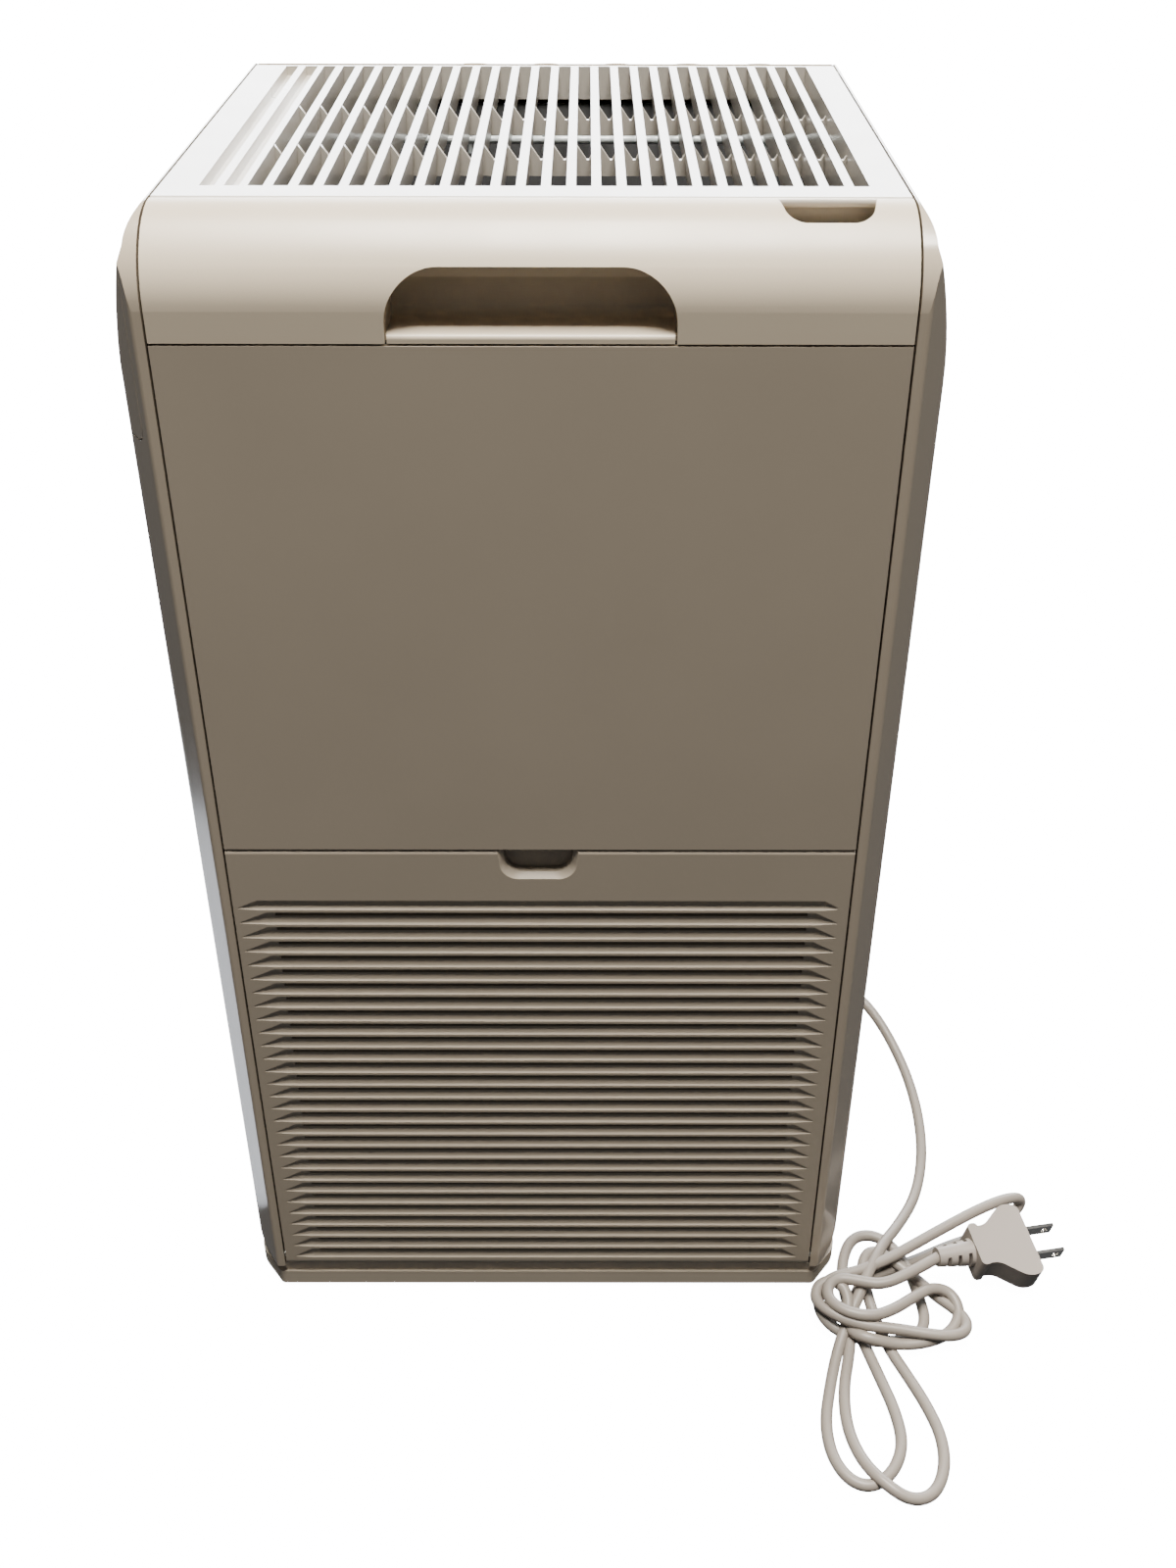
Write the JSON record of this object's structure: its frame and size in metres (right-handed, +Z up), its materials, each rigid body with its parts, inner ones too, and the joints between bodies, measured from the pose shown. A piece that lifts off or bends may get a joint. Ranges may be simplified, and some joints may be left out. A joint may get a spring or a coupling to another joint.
{
  "type": "room air purifier",
  "caption": "Upright floor-standing room air purifier with louvred rear intake panel, slatted top outlet, rear handle pocket, centrifugal fan, filters and a mains lead tied in a hank.",
  "frame": {"origin": "centre of the footprint on the floor plane, under the rubber feet", "axes": "+Z up; +Y points to the front of the purifier; -Y is the rear face with the intake panel; +X is to the right of someone facing the rear"},
  "size_m": [0.3749, 0.385, 0.487],
  "materials": {
    "shell_abs": "warm off-white moulded ABS, fine satin sheen",
    "side_abs": "glossier off-white ABS side mouldings",
    "inner_plastic": "dark grey structural plastic",
    "base_plastic": "off-white plinth plastic",
    "filter_media": "pleated white filter paper",
    "carbon": "black activated carbon mat",
    "mesh": "grey prefilter net and frame",
    "fan_plastic": "fan and duct plastic",
    "clear_bar": "pale translucent plastic",
    "steel": "zinc plated steel",
    "motor_metal": "painted motor can",
    "board": "green circuit board with parts",
    "window": "dark smoked indicator window",
    "rubber": "black rubber foot",
    "cord_pvc": "light warm grey PVC",
    "nickel": "nickel plated brass"
  },
  "bodies": {
    "housing": {"base_tray": "base_plastic", "carbon_filter": "carbon", "case_screws": "steel", "chassis_left": "inner_plastic", "chassis_right": "inner_plastic", "control_board": "board", "control_panel": "shell_abs", "cord_hank": "cord_pvc", "dust_sensor": "inner_plastic", "fan_scroll": "fan_plastic", "filter_housing": "inner_plastic", "front_panel": "shell_abs", "handle_grip": "shell_abs", "handle_pocket": "shell_abs", "hepa_frame": "filter_media", "hepa_pleats": "filter_media", "indicator_window": "window", "inlet_ring": "fan_plastic", "ioniser_bar": "clear_bar", "left_side_panel": "side_abs", "motor": "motor_metal", "motor_mount": "steel", "motor_screws": "steel", "outlet_duct": "fan_plastic", "plug_blades": "nickel", "plug_body": "cord_pvc", "power_board": "board", "power_cord": "cord_pvc", "prefilter": "mesh", "rear_panel": "shell_abs", "rear_top_cover": "shell_abs", "right_side_panel": "side_abs", "rubber_foot_1": "rubber", "rubber_foot_2": "rubber", "rubber_foot_3": "rubber", "rubber_foot_4": "rubber", "sensor_cover": "side_abs", "strain_relief": "cord_pvc"},
    "intake_panel": {"intake_grille": "shell_abs", "intake_hinge_pins": "steel"},
    "outlet_grille": {"top_grille": "shell_abs", "grille_hinge_pins": "steel"},
    "fan_rotor": {"impeller": "fan_plastic", "motor_shaft": "steel"},
    "key_1": {"button_1": "side_abs"},
    "key_2": {"button_2": "side_abs"},
    "key_3": {"button_3": "side_abs"},
    "key_4": {"button_4": "side_abs"},
    "key_5": {"button_5": "side_abs"}
  },
  "joints": [
    {"name": "intake_panel_hinge", "type": "hinge", "parent": "housing", "child": "intake_panel", "pos_m": [0, -0.131, 0.0198], "axis": [1, 0, 0], "range_deg": [0, 35]},
    {"name": "outlet_grille_hinge", "type": "hinge", "parent": "housing", "child": "outlet_grille", "pos_m": [0, 0.096, 0.4835], "axis": [-1, 0, 0], "range_deg": [0, 65]},
    {"name": "fan_spin", "type": "hinge", "parent": "housing", "child": "fan_rotor", "pos_m": [0, -0.03, 0.135], "axis": [0, 1, 0], "continuous": true},
    {"name": "key_1_press", "type": "slide", "parent": "housing", "child": "key_1", "axis": [0, -0.2588, -0.9659], "range_m": [0, 0.0008], "stiffness_N_per_m": 1500},
    {"name": "key_2_press", "type": "slide", "parent": "housing", "child": "key_2", "axis": [0, -0.2588, -0.9659], "range_m": [0, 0.0008], "stiffness_N_per_m": 1500},
    {"name": "key_3_press", "type": "slide", "parent": "housing", "child": "key_3", "axis": [0, -0.2588, -0.9659], "range_m": [0, 0.0008], "stiffness_N_per_m": 1500},
    {"name": "key_4_press", "type": "slide", "parent": "housing", "child": "key_4", "axis": [0, -0.2588, -0.9659], "range_m": [0, 0.0008], "stiffness_N_per_m": 1500},
    {"name": "key_5_press", "type": "slide", "parent": "housing", "child": "key_5", "axis": [0, -0.2588, -0.9659], "range_m": [0, 0.0008], "stiffness_N_per_m": 1500}
  ]
}
